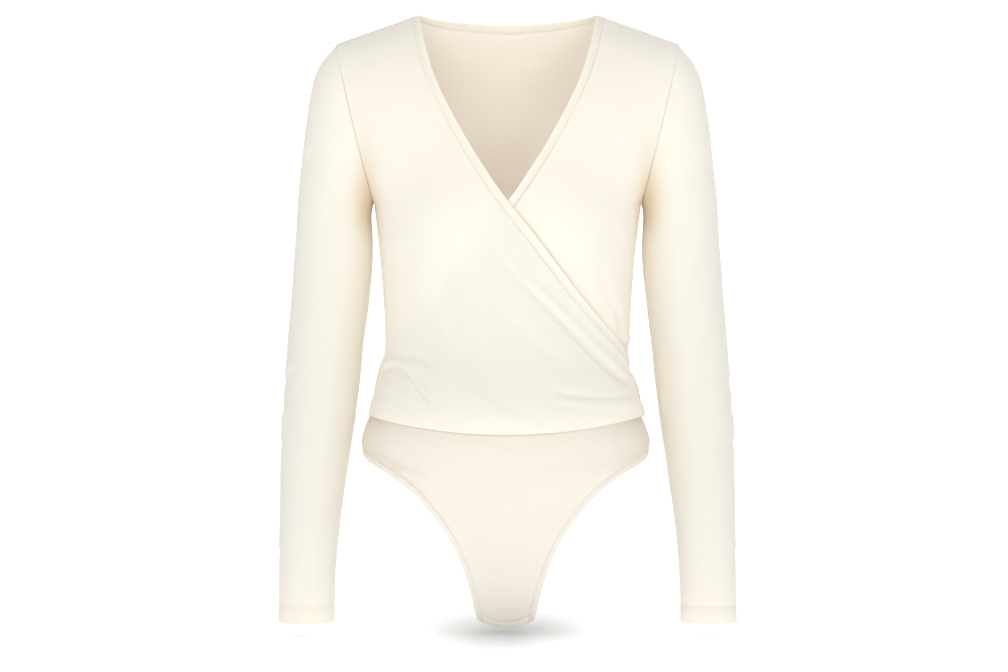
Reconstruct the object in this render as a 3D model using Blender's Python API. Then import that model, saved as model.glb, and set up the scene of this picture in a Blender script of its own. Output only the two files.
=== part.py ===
"""Wrap-front bodysuit with long set-in sleeves, filled out as it is worn.

The wall of each cloth piece lies on one of three forms: the bodice, the brief and the
sleeve. A form is a short table of cross sections, and a piece is a stretch of it between
seams. +X is to the right of somebody who faces the front, -Y is the front, +Z is up. The
origin lies between the shoulders, at the mean height of the shoulder seams.
"""

import math
from collections import namedtuple

import bmesh
import bpy
from mathutils import Vector

MM = 0.001

# Cloth, in millimetres
JERSEY = 1.2
BAND_WALL = 2.0
BAND_PROUD = 0.5
HEM_WALL = 2.2
HALF_GAP = 0.15
TUCK = 2.7
DEEP_TUCK = 4.0

# Driving sizes, in millimetres
NECK_POINT_X = 97.5
NECK_POINT_Z = 15.5
BACK_NECK_DROP = 6.0
NECKBAND_WIDTH = 9.0
BAND_TIP = 0.02
TIP_ROWS = 4
TIP_GAP = 0.35
LEG_BAND_WIDTH = 7.0
HIP_X = 158.2
HIP_Y = 94.0
BRIEF_LEAN = -2.0

# The bust rises softly on each side of the centre.
BUST_X = 66.0
BUST_Z = -206.0
BUST_LIFT = 7.0
BUST_SPREAD = 46.0

# Bodice sections from the hem up to the shoulder seam: the side point, the centre points
# of the front and the back, the arc of an ellipse between a centre and a side, and how far
# the section leans to the right. The last section lies past the shoulder seam, where the
# cloth comes down the other way.
Section = namedtuple("Section", "side_x side_z front_y front_z back_y back_z arc flat lean")
BODICE = [
    Section(151.5, -424, -102, -442, 86, -432, 90, 2.0, -2.0),
    Section(147.0, -404, -103, -417, 84, -411, 90, 2.0, -2.2),
    Section(141.5, -384, -99, -391, 76, -388, 90, 2.0, -2.8),
    Section(134.0, -355, -91, -357, 64, -356, 90, 2.0, -0.8),
    Section(135.6, -318, -93, -318, 62, -318, 90, 2.0, 0),
    Section(138.5, -270, -100, -270, 73, -270, 90, 2.0, 0),
    Section(142.5, -226, -106, -227, 84, -226, 90, 2.0, 0),
    Section(146.5, -194, -106, -197, 90, -196, 90, 2.0, 0),
    Section(152.7, -168, -100, -162, 92, -165, 70, 2.0, 0),
    Section(167.8, -105, -88, -116, 88, -116, 57, 1.7, 0),
    Section(182.8, -43, -66, -56, 72, -58, 57, 1.3, 0),
    Section(189.0, -16.5, 0, 50, 0, 50, 40, 1.0, 0),
    Section(182.8, -43, 72, -58, -66, -56, 57, 1.3, 0),
]
UNDERARM = 7
SHOULDER = 11
ROWS_PER_SECTION = 2

# Where the wrap's free edge crosses the sections, from the side seam up to the shoulder.
NeckPoint = namedtuple("NeckPoint", "level x")
WRAP_END = 2.5
TIP_LEVEL = 2.0
TIP_LEVELS = [2.25, 2.75]
NECKLINE = [
    NeckPoint(2.5, 137.2),
    NeckPoint(3, 129.2),
    NeckPoint(3.5, 116.9),
    NeckPoint(4, 97.6),
    NeckPoint(4.5, 77.5),
    NeckPoint(5, 58.5),
    NeckPoint(5.5, 41.0),
    NeckPoint(6, 25.5),
    NeckPoint(6.5, 12.5),
    NeckPoint(7, 1.0),
    NeckPoint(7.5, -11.0),
    NeckPoint(8, -23.0),
    NeckPoint(8.5, -37.0),
    NeckPoint(9, -51.5),
    NeckPoint(9.5, -67.0),
    NeckPoint(10, -82.0),
    NeckPoint(10.5, -93.5),
    NeckPoint(11, -97.5),
]

# Brief sections from the front waist, under the crotch and up to the back waist.
BriefSection = namedtuple("BriefSection", "side_x side_y side_z mid_y mid_z arc")
BRIEF = [
    BriefSection(147.4, 0, -419, -99.3, -436, 90),
    BriefSection(148.7, 0, -424.5, -99.1, -443, 90),
    BriefSection(156.5, 0, -443, -97.5, -463, 90),
    BriefSection(158.2, 0, -464, -94.0, -484, 90),
    BriefSection(149.5, -32, -474, -91.0, -493, 70),
    BriefSection(125.0, -56, -487, -87.0, -506, 55),
    BriefSection(98.0, -67, -507, -81.0, -526, 45),
    BriefSection(74.5, -68, -534, -72.0, -551, 38),
    BriefSection(57.0, -61, -562, -61.0, -579, 36),
    BriefSection(44.5, -49, -593, -46.5, -607, 38),
    BriefSection(36.5, -34, -624, -29.0, -634, 45),
    BriefSection(32.5, -18, -643, -13.0, -651, 50),
    BriefSection(29.5, 0, -651, 2.0, -659, 55),
    BriefSection(25.5, 20, -648, 24.0, -654, 50),
    BriefSection(20.0, 41, -635, 46.0, -639, 45),
    BriefSection(17.0, 61, -612, 66.0, -615, 40),
    BriefSection(16.5, 81, -581, 86.0, -583, 35),
    BriefSection(20.5, 92, -549, 98.0, -551, 35),
    BriefSection(33.0, 94, -521, 104.0, -524, 40),
    BriefSection(60.0, 86, -500, 104.0, -506, 50),
    BriefSection(102.0, 66, -483, 101.0, -489, 62),
    BriefSection(139.0, 38, -472, 96.0, -476, 75),
    BriefSection(158.2, 0, -464, 91.0, -463, 90),
    BriefSection(156.5, 0, -443, 86.5, -449, 90),
    BriefSection(148.7, 0, -424.5, 82.6, -432.5, 90),
    BriefSection(147.4, 0, -419, 82.0, -427, 90),
]
LEG_FRONT = 3
GUSSET_FRONT = 11
GUSSET_BACK = 14
LEG_BACK = 22
BRIEF_END = 25

# Sleeve rings from the armhole to the cuff. A ring runs through its outer and its inner
# point, and reaches `depth` to the front and the back of `mid_y`.
Ring = namedtuple("Ring", "outer_x outer_z inner_x inner_z depth mid_y")
SLEEVE = [
    Ring(189.0, -16.5, 146.5, -194.0, 50.0, 0),
    Ring(196.6, -24.8, 147.1, -197.0, 50.0, 0),
    Ring(204.8, -34.7, 147.5, -200.5, 49.5, 0),
    Ring(211.4, -47.0, 147.7, -205.0, 49.0, 0),
    Ring(216.8, -67.5, 147.7, -211.0, 48.0, 0),
    Ring(221.2, -92.0, 147.6, -219.0, 47.0, 0),
    Ring(225.6, -129.0, 147.3, -230.0, 46.0, 0),
    Ring(229.6, -172.0, 147.0, -243.0, 45.0, 0),
    Ring(233.4, -216.0, 147.4, -262.0, 44.5, 1),
    Ring(237.2, -268.0, 149.8, -288.0, 44.0, 2),
    Ring(241.6, -326.0, 155.2, -334.0, 43.5, 1),
    Ring(245.4, -376.0, 160.2, -380.0, 42.0, -1),
    Ring(248.6, -431.0, 166.8, -433.0, 39.5, -5),
    Ring(249.8, -480.0, 173.6, -481.0, 37.0, -9),
    Ring(250.2, -535.0, 181.2, -535.5, 34.5, -13),
    Ring(250.2, -585.0, 186.2, -585.0, 32.0, -16),
    Ring(250.4, -634.0, 188.4, -634.0, 30.5, -18),
    Ring(250.8, -635.2, 188.0, -635.2, 30.9, -18),
    Ring(251.2, -648.5, 187.8, -648.5, 31.0, -19),
]
CUFF_HEM = 17
ARMHOLE_OUT = Vector((177.5, 0.0, -42.5)).normalized()

# Folds: a bent line seen from the front, its breadth, and how far the cloth rises at its
# start and at its end. A fold that sinks is a trough.
Fold = namedtuple("Fold", "start bend end breadth start_rise end_rise")
FRONT_FOLDS = [
    Fold((-10, -246), (70, -312), (140, -396), 10.0, -0.6, -4.2),
    Fold((30, -264), (96, -336), (140, -382), 9.0, 0.8, 3.2),
    Fold((-76, -250), (-70, -402), (90, -414), 13.0, -1.2, -2.4),
    Fold((-142, -386), (-104, -356), (-80, -410), 8.0, -3.6, -1.2),
    Fold((-134, -366), (-100, -352), (-60, -388), 8.0, 2.6, 0.8),
    Fold((52, -402), (100, -402), (132, -404), 8.0, -0.8, -2.0),
]
BACK_FOLDS = [
    Fold((136, -362), (90, -346), (46, -352), 9.0, -3.0, -0.6),
    Fold((-136, -362), (-90, -346), (-46, -352), 9.0, -3.0, -0.6),
    Fold((142, -392), (90, -372), (30, -384), 10.0, -2.6, -0.8),
    Fold((-142, -386), (-84, -378), (-20, -374), 10.0, -2.2, -0.8),
]
SLEEVE_FOLDS = [
    Fold((152, -206), (186, -176), (206, -104), 10.0, -2.6, -0.6),
    Fold((158, -322), (196, -306), (226, -318), 10.0, -2.0, -0.6),
    Fold((160, -356), (196, -352), (226, -338), 9.0, -1.8, -0.6),
]
FOLD_STEPS = 8
FOLD_REACH = 2.6

# Columns of the walls
WRAP_COLUMNS = 24
UNDER_COLUMNS = 16
NECK_COLUMNS = 8
SHOULDER_COLUMNS = 5
BRIEF_COLUMNS = 12
BAND_COLUMNS = 2
STEP = 1e-3

BACKWARD = Vector((0.0, 1.0, 0.0))
UP = Vector((0.0, 0.0, 1.0))


def lerp(a, b, share):
    return a + (b - a) * share


def smoothstep(low, high, value):
    share = min(1.0, max(0.0, (value - low) / (high - low)))
    return share * share * (3 - 2 * share)


def spline(rows, field, position):
    """A smooth curve through one column of a table, read between its rows."""
    index = min(max(int(position), 0), len(rows) - 2)
    share = position - index
    here = getattr(rows[index], field)
    there = getattr(rows[index + 1], field)
    before = getattr(rows[index - 1], field) if index else 2 * here - there
    after = getattr(rows[index + 2], field) if index + 2 < len(rows) else 2 * there - here
    square = share * share
    cube = square * share
    return (
        here * (2 * cube - 3 * square + 1)
        + (there - before) * 0.5 * (cube - 2 * square + share)
        + there * (3 * square - 2 * cube)
        + (after - here) * 0.5 * (cube - square)
    )


def ellipse_shares(across, arc):
    """The shares of the way out and of the depth at `across`: 0 at a centre, 1 at a side."""
    full = math.radians(arc)
    turn = full * across
    return math.sin(turn) / math.sin(full), (math.cos(turn) - math.cos(full)) / (1 - math.cos(full))


def across_at(share, arc):
    """The inverse of the share of the way out."""
    full = math.radians(arc)
    return math.asin(min(1.0, share) * math.sin(full)) / full


def fold_point(fold, share):
    first = [lerp(a, b, share) for a, b in zip(fold.start, fold.bend)]
    second = [lerp(a, b, share) for a, b in zip(fold.bend, fold.end)]
    return [lerp(a, b, share) for a, b in zip(first, second)]


def fold_rise(folds, x, z):
    """How far the folds raise the cloth at a place seen from the front."""
    rise = 0.0
    for fold in folds:
        nearest = math.inf
        at = 0.0
        line = [fold_point(fold, step / FOLD_STEPS) for step in range(FOLD_STEPS + 1)]
        for step in range(FOLD_STEPS):
            (ax, az), (bx, bz) = line[step], line[step + 1]
            dx, dz = bx - ax, bz - az
            share = min(1.0, max(0.0, ((x - ax) * dx + (z - az) * dz) / (dx * dx + dz * dz)))
            away = math.hypot(x - ax - share * dx, z - az - share * dz)
            if away < nearest:
                nearest = away
                at = (step + share) / FOLD_STEPS
        if nearest < FOLD_REACH * fold.breadth:
            bell = math.exp(-((nearest / fold.breadth) ** 2))
            rise += bell * lerp(fold.start_rise, fold.end_rise, at)
    return rise


def sleeve_form(turn, position):
    """The right sleeve; `turn` is 0 at its outer line and grows through the front."""
    outer = Vector((spline(SLEEVE, "outer_x", position), 0.0, spline(SLEEVE, "outer_z", position)))
    inner = Vector((spline(SLEEVE, "inner_x", position), 0.0, spline(SLEEVE, "inner_z", position)))
    depth = spline(SLEEVE, "depth", position)
    middle = (outer + inner) / 2
    y = spline(SLEEVE, "mid_y", position) - depth * math.sin(turn)
    point = middle + (outer - inner) / 2 * math.cos(turn)
    point.y = y
    return point


def normal_between(before, after, below, above):
    return (after - before).cross(above - below).normalized()


def sleeve_normal(surface, turn, position):
    last = len(SLEEVE) - 1
    return normal_between(
        surface(turn - STEP, position),
        surface(turn + STEP, position),
        surface(turn, max(0.0, position - STEP)),
        surface(turn, min(last, position + STEP)),
    )


def sleeve_surface(turn, position):
    point = sleeve_form(turn, position)
    calm = smoothstep(0.0, 1.5, position) * (0.35 + 0.65 * abs(math.sin(turn)))
    rise = fold_rise(SLEEVE_FOLDS, point.x, point.z) * calm
    return point + sleeve_normal(sleeve_form, turn, position) * rise


def bodice_side(level, front):
    """The right side seam, and above the underarm the armhole."""
    if level >= UNDERARM:
        turn = math.pi * (1 - (min(level, SHOULDER) - UNDERARM) / (SHOULDER - UNDERARM))
        return sleeve_form(turn if front else -turn, 0.0)
    lower = BODICE[: UNDERARM + 1]
    return Vector((spline(lower, "side_x", level), 0.0, spline(lower, "side_z", level)))


def bodice_form(across, level, front):
    """The bodice before its folds; `across` is -1 and 1 at the sides."""
    half = "front" if front else "back"
    out, depth = ellipse_shares(abs(across), spline(BODICE, "arc", level))
    side = bodice_side(level, front)
    y = lerp(side.y, spline(BODICE, half + "_y", level), depth)
    drop = 1 - out ** spline(BODICE, "flat", level)
    z = lerp(side.z, spline(BODICE, half + "_z", level), drop)
    return Vector((math.copysign(side.x * out, across) + spline(BODICE, "lean", level), y, z))


def sheet_normal(surface, across, level, last):
    """The normal of a surface that runs across from -1 to 1 and up from 0 to `last`."""
    return normal_between(
        surface(max(-1.0, across - STEP), level),
        surface(min(1.0, across + STEP), level),
        surface(across, max(0.0, level - STEP)),
        surface(across, min(last, level + STEP)),
    )


def front_form(across, level):
    return bodice_form(across, level, True)


def back_form(across, level):
    """The back, seen from behind, so that its normal points out."""
    return bodice_form(-across, level, False)


def bust_rise(x, z):
    spread = ((abs(x) - BUST_X) ** 2 + (z - BUST_Z) ** 2) / BUST_SPREAD**2
    return BUST_LIFT * math.exp(-spread)


def front_lifted(across, level, folds_share, sink):
    """The front with its bust and a share of its folds, sunk by some millimetres."""
    point = front_form(across, level)
    rise = bust_rise(point.x, point.z) * smoothstep(1.0, 0.9, abs(across))
    folds = fold_rise(FRONT_FOLDS, point.x, point.z) * smoothstep(0.0, 0.6, level)
    rise += folds * folds_share - sink
    return point + sheet_normal(front_form, across, level, SHOULDER) * rise


def front_surface(across, level):
    return front_lifted(across, level, 1.0, 0.0)


def back_surface(across, level):
    point = back_form(across, level)
    rise = fold_rise(BACK_FOLDS, point.x, point.z) * smoothstep(0.0, 0.6, level)
    return point + sheet_normal(back_form, across, level, SHOULDER) * rise


def wrap_edge(level):
    """Where the wrap's free edge crosses the front, from -1 to 1."""
    if level <= WRAP_END:
        return 1.0
    x = spline(NECKLINE, "x", (level - WRAP_END) * ROWS_PER_SECTION)
    share = abs(x) / bodice_side(level, True).x
    return math.copysign(across_at(share, spline(BODICE, "arc", level)), x)


def tucked_surface(across, level):
    """The front underneath, which sinks where the wrap covers it."""
    beyond = across - wrap_edge(level)
    covered = smoothstep(0.25, 0.0, beyond)
    deep = max(smoothstep(0.02, -0.12, beyond), smoothstep(WRAP_END + 0.9, WRAP_END + 0.4, level))
    return front_lifted(across, level, 1.0 - covered, TUCK * covered + DEEP_TUCK * deep)


def brief_form(across, level):
    """The brief; `across` is -1 and 1 at its side seams and its leg openings."""
    out, depth = ellipse_shares(abs(across), spline(BRIEF, "arc", level))
    side_y = spline(BRIEF, "side_y", level) if LEG_FRONT < level < LEG_BACK else 0.0
    y = lerp(side_y, spline(BRIEF, "mid_y", level), depth)
    z = lerp(spline(BRIEF, "side_z", level), spline(BRIEF, "mid_z", level), 1 - out**2)
    return Vector((math.copysign(spline(BRIEF, "side_x", level) * out, across) + BRIEF_LEAN, y, z))


def brief_normal(across, level):
    """The normal of the brief, taken from the hips' ellipse where the brief lies on them."""
    point = brief_form(across, level)
    hips = Vector(((point.x - BRIEF_LEAN) / HIP_X**2, point.y / HIP_Y**2, 0)).normalized()
    on_hips = max(smoothstep(6.5, 5.0, level), smoothstep(17.5, 19.5, level))
    own = -sheet_normal(brief_form, across, level, BRIEF_END)
    return lerp(own, hips, on_hips).normalized()


class Cloth:
    """A grid of points of a cloth's outer face, with the normals that give its wall."""

    def __init__(self, points, normals):
        self.points = points
        self.normals = normals

    def set_off(self, row, column, toward):
        """Leaves half a gap to the piece across a seam, and keeps the wall on this side."""
        normal = self.normals[row][column]
        lean = normal.dot(toward)
        if lean < 0:
            self.normals[row][column] = (normal - toward * lean).normalized()
        self.points[row][column] = self.points[row][column] - toward * HALF_GAP

    def draw_in(self, row, column, inner, gap=HALF_GAP):
        """Leaves a gap along a row, beside a seam that runs over the cloth."""
        point = self.points[row][column]
        along = (self.points[row][inner] - point).normalized()
        self.points[row][column] = point + along * gap

    def mirror(self):
        flip = Vector((-1, 1, 1))
        self.points = [[point * flip for point in reversed(row)] for row in self.points]
        self.normals = [[normal * flip for normal in reversed(row)] for row in self.normals]
        return self

    def make(self, name, material, wall, closed=False):
        """Makes the object: outer face, inner face and rims. A closed grid is a tube."""
        mesh = bmesh.new()
        walls = wall if isinstance(wall, list) else [wall] * len(self.points)
        outer = [[mesh.verts.new(point * MM) for point in row] for row in self.points]
        inner = []
        for points, normals, depth in zip(self.points, self.normals, walls):
            inner.append([mesh.verts.new((p - n * depth) * MM) for p, n in zip(points, normals)])
        rows = len(outer)
        columns = len(outer[0])
        spans = [(i, (i + 1) % columns) for i in range(columns if closed else columns - 1)]
        for j in range(rows - 1):
            for i, k in spans:
                mesh.faces.new((outer[j][i], outer[j][k], outer[j + 1][k], outer[j + 1][i]))
                mesh.faces.new((inner[j][i], inner[j + 1][i], inner[j + 1][k], inner[j][k]))
            if not closed:
                for i in (0, -1):
                    mesh.faces.new((outer[j][i], outer[j + 1][i], inner[j + 1][i], inner[j][i]))
        for j in (0, -1):
            for i, k in spans:
                mesh.faces.new((outer[j][i], inner[j][i], inner[j][k], outer[j][k]))
        bmesh.ops.recalc_face_normals(mesh, faces=mesh.faces)
        data = bpy.data.meshes.new(name)
        mesh.to_mesh(data)
        mesh.free()
        data.materials.append(material)
        data.shade_smooth()
        data.set_sharp_from_angle(angle=math.radians(50))
        made = bpy.data.objects.new(name, data)
        bpy.context.scene.collection.objects.link(made)


def sideways(line, normals, index, toward):
    """The direction across a line on the cloth, to the side where `toward` lies."""
    before = line[max(0, index - 1)]
    after = line[min(len(line) - 1, index + 1)]
    across = normals[index].cross(after - before).normalized()
    return across if across.dot(toward - line[index]) > 0 else -across


def band(edge, seam, normals):
    """A band from a free edge to the seam where the cloth begins, a little proud of it."""
    rows = []
    for column in range(BAND_COLUMNS + 1):
        share = column / BAND_COLUMNS
        row = []
        for i, (a, b) in enumerate(zip(edge, seam)):
            back = (a - b).normalized() * HALF_GAP * share
            row.append(lerp(a, b, share) + back + normals[i] * BAND_PROUD)
        rows.append(row)
    return Cloth(rows, [list(normals) for _ in rows])


def row_levels(first, last):
    count = round((last - first) * ROWS_PER_SECTION)
    return [first + step / ROWS_PER_SECTION for step in range(count + 1)]


def wrap_seam(level):
    """Where the neckband's seam crosses the front, a band's width inside the free edge."""
    if level <= TIP_LEVEL - 0.5:
        return 1.0
    if level < WRAP_END:
        share = (level - TIP_LEVEL) / (WRAP_END - TIP_LEVEL)
        return lerp(1.0 - BAND_TIP, wrap_seam(WRAP_END), share)
    low = max(level - 0.25, WRAP_END)
    high = min(level + 0.25, SHOULDER)
    here = wrap_edge(level)
    along = front_form(wrap_edge(high), high) - front_form(wrap_edge(low), low)
    over = (front_form(here, level) - front_form(here - STEP, level)) / STEP
    return here - NECKBAND_WIDTH * along.length / over.cross(along).length


def front_panel(surface, side, columns, first):
    """A front and its neckband. `side` is 1 for the wrap and -1 for the one underneath."""
    levels = sorted(row_levels(first, SHOULDER) + TIP_LEVELS)
    points = []
    normals = []
    for level in levels:
        spans = [side * lerp(-1.0, wrap_seam(level), i / columns) for i in range(columns + 1)]
        points.append([surface(across, level) for across in spans])
        normals.append([sheet_normal(surface, across, level, SHOULDER) for across in spans])
    cloth = Cloth(points, normals)
    out = ARMHOLE_OUT * Vector((-side, 1, 1))
    for j, level in enumerate(levels):
        if level <= UNDERARM:
            cloth.set_off(j, 0, BACKWARD)
        if level >= UNDERARM:
            cloth.set_off(j, 0, out)
        if level < WRAP_END:
            cloth.set_off(j, -1, BACKWARD)
        if level >= TIP_LEVEL:
            cloth.draw_in(j, -1, -2)
    for i in range(columns + 1):
        cloth.set_off(len(levels) - 1, i, BACKWARD)
    return cloth


def front_band(surface, side):
    """The neckband of a front, which narrows to a tip in the side seam."""
    levels = sorted(row_levels(TIP_LEVEL, SHOULDER) + TIP_LEVELS)
    points = []
    normals = []
    for level in levels:
        ends = (wrap_edge(level), wrap_seam(level))
        spans = [side * lerp(*ends, i / BAND_COLUMNS) for i in range(BAND_COLUMNS + 1)]
        normals.append([sheet_normal(surface, across, level, SHOULDER) for across in spans])
        proud = BAND_PROUD * min(1.0, len(points) / TIP_ROWS)
        points.append([surface(a, level) + n * proud for a, n in zip(spans, normals[-1])])
    cloth = Cloth(points, normals)
    for j, level in enumerate(levels):
        cloth.draw_in(j, -1, -2, TIP_GAP if j < TIP_ROWS else HALF_GAP)
        if level <= WRAP_END:
            cloth.set_off(j, 0, BACKWARD)
    for i in range(1, BAND_COLUMNS + 1):
        cloth.set_off(0, i, BACKWARD)
    for i in range(BAND_COLUMNS + 1):
        cloth.set_off(len(levels) - 1, i, BACKWARD)
    return cloth


def neck_level(across):
    """The level at which the back reaches the neckline."""
    x = abs(back_surface(across, SHOULDER).x)
    if x >= NECK_POINT_X:
        return SHOULDER
    height = NECK_POINT_Z - BACK_NECK_DROP * (1 - (x / NECK_POINT_X) ** 2)
    low = SHOULDER - 1.0
    high = float(SHOULDER)
    while high - low > STEP:
        middle = (low + high) / 2
        if back_surface(across, middle).z < height:
            low = middle
        else:
            high = middle
    return low


def back_panel():
    """The back and its neckband."""
    neck = across_at(NECK_POINT_X / bodice_side(SHOULDER, False).x, BODICE[SHOULDER].arc)
    half = [neck * i / NECK_COLUMNS for i in range(NECK_COLUMNS)]
    half += [lerp(neck, 1.0, i / SHOULDER_COLUMNS) for i in range(SHOULDER_COLUMNS + 1)]
    spans = [-across for across in reversed(half[1:])] + half
    tops = [neck_level(across) for across in spans]
    levels = row_levels(0, SHOULDER)
    points = []
    normals = []
    for level in levels:
        above = max(0.0, level - SHOULDER + 2) / 2
        heights = [level - above * (SHOULDER - top) for top in tops]
        places = list(zip(spans, heights))
        points.append([back_surface(across, height) for across, height in places])
        normals.append([sheet_normal(back_surface, across, h, SHOULDER) for across, h in places])
    cloth = Cloth(points, normals)
    for column, side in ((0, 1), (-1, -1)):
        out = ARMHOLE_OUT * Vector((side, 1, 1))
        for j, level in enumerate(levels):
            if level <= UNDERARM:
                cloth.set_off(j, column, -BACKWARD)
            if level >= UNDERARM:
                cloth.set_off(j, column, out)
    first = SHOULDER_COLUMNS
    last = len(spans) - 1 - SHOULDER_COLUMNS
    for i in list(range(first + 1)) + list(range(last, len(spans))):
        cloth.set_off(len(levels) - 1, i, -BACKWARD)
    edge = points[-1][first : last + 1]
    edge_normals = normals[-1][first : last + 1]
    seam = []
    for i, below in enumerate(points[-3][first : last + 1]):
        seam.append(edge[i] + sideways(edge, edge_normals, i, below) * NECKBAND_WIDTH)
    seam[0] = edge[0] + (points[-1][0] - edge[0]).normalized() * NECKBAND_WIDTH
    seam[-1] = edge[-1] + (points[-1][-1] - edge[-1]).normalized() * NECKBAND_WIDTH
    made = band(edge, seam, edge_normals)
    for i, (a, b) in enumerate(zip(edge, seam), first):
        shift = (b - a) + (b - a).normalized() * HALF_GAP
        for back, share in enumerate((1.0, 0.5, 0.2)):
            points[-1 - back][i] = points[-1 - back][i] + shift * share
    return cloth, made


def leg_seam(level, side):
    """The leg opening's edge moved over the cloth by the width of its band."""
    edge = brief_form(side, level)
    if level in (LEG_FRONT, LEG_BACK):
        return edge + UP * LEG_BAND_WIDTH
    line = [brief_form(side, level - 0.25), edge, brief_form(side, level + 0.25)]
    normals = [brief_normal(side, level)] * len(line)
    return edge + sideways(line, normals, 1, brief_form(side * 0.7, level)) * LEG_BAND_WIDTH


def brief_panel(first, last):
    """A stretch of the brief between two of its sections."""
    levels = row_levels(first, last)
    spans = [lerp(-1.0, 1.0, i / BRIEF_COLUMNS) for i in range(BRIEF_COLUMNS + 1)]
    points = []
    normals = []
    for level in levels:
        row = [brief_form(across, level) for across in spans]
        if LEG_FRONT <= level <= LEG_BACK:
            for side, end in ((-1, 0), (1, -1)):
                shift = leg_seam(level, side) - row[end]
                shift += shift.normalized() * HALF_GAP
                row = [p + shift * max(0.0, side * a) for p, a in zip(row, spans)]
        points.append(row)
        normals.append([brief_normal(across, level) for across in spans])
    cloth = Cloth(points, normals)
    for j, level in enumerate(levels):
        if level <= LEG_FRONT or level >= LEG_BACK:
            for column in (0, -1):
                cloth.set_off(j, column, BACKWARD if level <= LEG_FRONT else -BACKWARD)
    return cloth


def gap_at_gusset(cloth, row, other):
    """Sets a row of the brief back from the seam with its gusset."""
    for i, point in enumerate(cloth.points[row]):
        along = (cloth.points[other][i] - point).normalized()
        cloth.points[row][i] = point + along * HALF_GAP


def leg_band(side):
    levels = row_levels(LEG_FRONT, LEG_BACK)[:-1]
    edge = [brief_form(side, level) for level in levels]
    seam = [leg_seam(level, side) for level in levels]
    normals = [brief_normal(side, level) for level in levels]
    normals[0] = Vector((side, 0, 0))
    return band(edge, seam, normals)


def sleeve_cloth():
    steps = (SHOULDER - UNDERARM) * ROWS_PER_SECTION
    turns = [math.pi * i / steps for i in range(2 * steps)]
    last = len(SLEEVE) - 1
    places = row_levels(0, CUFF_HEM - 1) + [float(CUFF_HEM), float(last)]
    points = [[sleeve_surface(turn, place) for turn in turns] for place in places]
    normals = [[sleeve_normal(sleeve_surface, turn, place) for turn in turns] for place in places]
    cloth = Cloth(points, normals)
    for i in range(len(turns)):
        cloth.set_off(0, i, -ARMHOLE_OUT)
    return cloth


def cloth_material(name, color, roughness):
    material = bpy.data.materials.new(name)
    material.use_nodes = True
    shader = material.node_tree.nodes["Principled BSDF"]
    shader.inputs["Base Color"].default_value = color
    shader.inputs["Roughness"].default_value = roughness
    shader.inputs["Metallic"].default_value = 0.0
    return material


def build():
    for old in list(bpy.data.objects):
        bpy.data.objects.remove(old)
    jersey = cloth_material("cream_jersey", (0.93, 0.89, 0.79, 1.0), 0.85)
    brief_jersey = cloth_material("cream_brief_jersey", (0.91, 0.86, 0.76, 1.0), 0.88)
    binding = cloth_material("cream_binding", (0.92, 0.88, 0.78, 1.0), 0.8)

    wrap = front_panel(front_surface, 1, WRAP_COLUMNS, 0)
    hem_rows = [HEM_WALL] + [JERSEY] * (len(wrap.points) - 1)
    wrap.make("front_wrap", jersey, hem_rows)
    band_rows = [JERSEY] * TIP_ROWS + [BAND_WALL] * len(wrap.points)
    front_band(front_surface, 1).make("neckband_wrap", binding, band_rows)

    under = front_panel(tucked_surface, -1, UNDER_COLUMNS, 0.5)
    under.make("front_under", jersey, JERSEY)
    front_band(tucked_surface, -1).make("neckband_under", binding, band_rows)

    back, back_band = back_panel()
    back.make("bodice_back", jersey, hem_rows)
    back_band.make("neckband_back", binding, BAND_WALL)

    front = brief_panel(0, GUSSET_FRONT)
    gap_at_gusset(front, -1, -2)
    front.make("brief_front", brief_jersey, JERSEY)
    gusset = brief_panel(GUSSET_FRONT, GUSSET_BACK)
    gap_at_gusset(gusset, 0, 1)
    gap_at_gusset(gusset, -1, -2)
    gusset.make("gusset", brief_jersey, JERSEY)
    rear = brief_panel(GUSSET_BACK, BRIEF_END)
    gap_at_gusset(rear, 0, 1)
    rear.make("brief_back", brief_jersey, JERSEY)
    for side, name in ((1, "leg_band_left"), (-1, "leg_band_right")):
        leg_band(side).make(name, binding, BAND_WALL, closed=True)

    rings = len(sleeve_cloth().points)
    cuff_rows = [JERSEY] * (rings - 2) + [HEM_WALL] * 2
    sleeve_cloth().make("sleeve_left", jersey, cuff_rows, closed=True)
    sleeve_cloth().mirror().make("sleeve_right", jersey, cuff_rows, closed=True)


build()
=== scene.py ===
# Looks of a cream wrap-front bodysuit: jersey, bindings, stitches, soft studio light
import math

import bmesh
import bpy
import numpy as np
from mathutils import Matrix, Vector, kdtree, noise
from mathutils.bvhtree import BVHTree


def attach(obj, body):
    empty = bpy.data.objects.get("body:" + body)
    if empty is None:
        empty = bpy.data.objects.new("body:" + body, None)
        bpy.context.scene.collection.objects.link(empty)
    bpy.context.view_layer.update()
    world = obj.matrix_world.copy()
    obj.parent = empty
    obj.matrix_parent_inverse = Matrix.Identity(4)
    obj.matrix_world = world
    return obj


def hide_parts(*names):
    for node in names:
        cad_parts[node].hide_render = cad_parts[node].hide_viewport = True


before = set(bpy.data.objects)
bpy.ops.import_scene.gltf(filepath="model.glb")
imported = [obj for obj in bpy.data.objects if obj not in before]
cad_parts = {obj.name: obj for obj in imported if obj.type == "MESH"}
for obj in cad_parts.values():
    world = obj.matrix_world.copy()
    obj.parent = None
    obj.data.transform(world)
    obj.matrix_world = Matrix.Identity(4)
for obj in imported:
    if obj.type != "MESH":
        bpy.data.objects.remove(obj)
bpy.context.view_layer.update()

print("frame loaded", sorted(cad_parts))

mm = 0.001

camera = {"x": -0.00385, "y": -2.4, "z": -0.3377, "lens": 77.9, "sensor": 36.0}
picture = {"wide": 1008, "high": 672}
fieldWidth = 1.1088  # metres across the picture, at the garment's middle


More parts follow.
